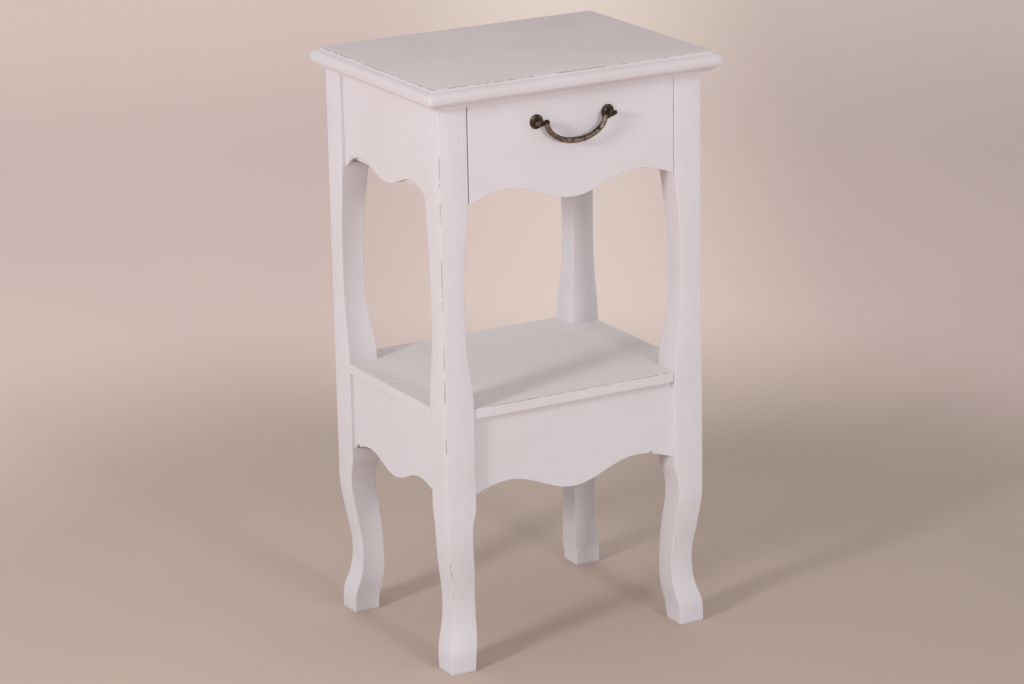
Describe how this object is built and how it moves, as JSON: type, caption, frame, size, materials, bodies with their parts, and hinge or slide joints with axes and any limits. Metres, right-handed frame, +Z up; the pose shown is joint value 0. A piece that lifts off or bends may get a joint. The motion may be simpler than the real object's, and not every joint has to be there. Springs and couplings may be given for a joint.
{
  "type": "small side table with one drawer",
  "caption": "Small white painted side table with a moulded top, a shallow drawer with a bail handle, a lower shelf, scalloped aprons and sawn curved legs.",
  "frame": {"origin": "on the floor, under the middle of the box that holds the whole table", "axes": "+Z up, -Y towards the front with the drawer, +X along the front to the right as seen from the front"},
  "size_m": [0.395, 0.3064, 0.72],
  "materials": {
    "white_paint": "satin white paint with worn edges",
    "bare_pine": null,
    "thin_plywood": null,
    "antique_brass": "dark antique brass, rubbed bright on the high places",
    "zinc_screw": "zinc plated"
  },
  "bodies": {
    "table": {"top_board": "white_paint", "top_moulding_front": "white_paint", "top_moulding_left": "white_paint", "top_moulding_right": "white_paint", "leg_front_left": "white_paint", "leg_front_right": "white_paint", "leg_back_left": "white_paint", "leg_back_right": "white_paint", "upper_apron_left": "white_paint", "upper_apron_right": "white_paint", "upper_apron_back": "white_paint", "lower_apron_front": "white_paint", "lower_apron_left": "white_paint", "lower_apron_right": "white_paint", "lower_apron_back": "white_paint", "shelf_board": "white_paint", "top_batten_back": "bare_pine", "drawer_runner_left": "bare_pine", "drawer_runner_right": "bare_pine", "drawer_stop_left": "bare_pine", "drawer_stop_right": "bare_pine", "drawer_kicker_left": "bare_pine", "drawer_kicker_right": "bare_pine", "shelf_cleat_left": "bare_pine", "shelf_cleat_right": "bare_pine", "top_screw_front_left": "zinc_screw", "top_screw_front_right": "zinc_screw", "top_screw_back_left": "zinc_screw", "top_screw_back_right": "zinc_screw", "shelf_screw_front_left": "zinc_screw", "shelf_screw_front_right": "zinc_screw", "shelf_screw_back_left": "zinc_screw", "shelf_screw_back_right": "zinc_screw"},
    "drawer": {"drawer_front": "white_paint", "drawer_side_left": "bare_pine", "drawer_side_right": "bare_pine", "drawer_back": "bare_pine", "drawer_bottom": "thin_plywood", "handle_rosette_left": "antique_brass", "handle_rosette_right": "antique_brass", "handle_post_left": "antique_brass", "handle_post_right": "antique_brass", "handle_screw_left": "zinc_screw", "handle_screw_right": "zinc_screw"},
    "bail": {"handle_bail": "antique_brass"}
  },
  "joints": [
    {"name": "drawer_slide", "type": "slide", "parent": "table", "child": "drawer", "axis": [0, -1, 0], "range_m": [0, 0.16]},
    {"name": "bail_hinge", "type": "hinge", "parent": "drawer", "child": "bail", "pos_m": [0, -0.14325, 0.663], "axis": [-1, 0, 0], "range_deg": [-13, 193]}
  ]
}
